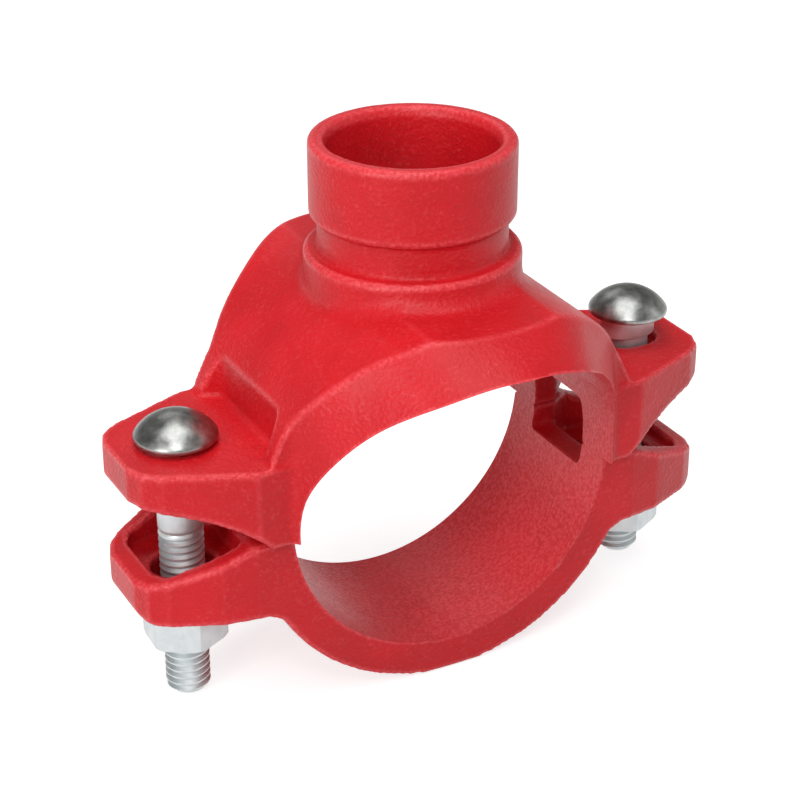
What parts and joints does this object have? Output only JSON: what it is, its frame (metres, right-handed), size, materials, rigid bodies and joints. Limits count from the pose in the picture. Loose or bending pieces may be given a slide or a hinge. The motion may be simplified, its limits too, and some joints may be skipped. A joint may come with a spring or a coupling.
{
  "type": "mechanical tee",
  "caption": "Bolted mechanical tee: a red cast saddle with a grooved branch outlet and a cast strap that clamp round a run pipe over a drilled hole",
  "frame": {"origin": "on the axis of the run pipe, where the branch outlet's axis crosses it", "axes": "+Z along the branch outlet, away from the run pipe; +X across the pipe, along the line of the two bolts; +Y along the run pipe"},
  "size_m": [0.1334, 0.0944, 0.1148],
  "materials": {
    "painted_casting": "red painted ductile iron casting, slightly grainy",
    "gasket_rubber": "moulded black rubber",
    "zinc_plated_steel": "bright zinc plate"
  },
  "bodies": {
    "saddle": {"upper_housing": "painted_casting", "gasket": "gasket_rubber"},
    "strap": {"lower_housing": "painted_casting"},
    "left_bolt": {"bolt_left": "zinc_plated_steel"},
    "right_bolt": {"bolt_right": "zinc_plated_steel"},
    "left_nut": {"nut_left": "zinc_plated_steel"},
    "right_nut": {"nut_right": "zinc_plated_steel"}
  },
  "joints": [
    {"name": "clamp_gap", "type": "slide", "parent": "saddle", "child": "strap", "axis": [0, 0, -1], "range_m": [0, 0.009]},
    {"name": "left_nut_turn", "type": "hinge", "parent": "strap", "child": "left_nut", "pos_m": [-0.0534, 0, -0.0194], "axis": [0, 0, -1], "range_deg": [0, 2042]},
    {"name": "right_nut_turn", "type": "hinge", "parent": "strap", "child": "right_nut", "pos_m": [0.0534, 0, -0.0194], "axis": [0, 0, -1], "range_deg": [0, 2042]},
    {"name": "left_bolt_drop", "type": "slide", "parent": "saddle", "child": "left_bolt", "axis": [0, 0, -1], "range_m": [0, 0.001]},
    {"name": "right_bolt_drop", "type": "slide", "parent": "saddle", "child": "right_bolt", "axis": [0, 0, -1], "range_m": [0, 0.0064]}
  ],
  "couplings": [
    {"joint": "left_nut_turn", "follows": "clamp_gap", "rad_per_m": 3957.9},
    {"joint": "right_nut_turn", "follows": "clamp_gap", "rad_per_m": 3957.9}
  ]
}
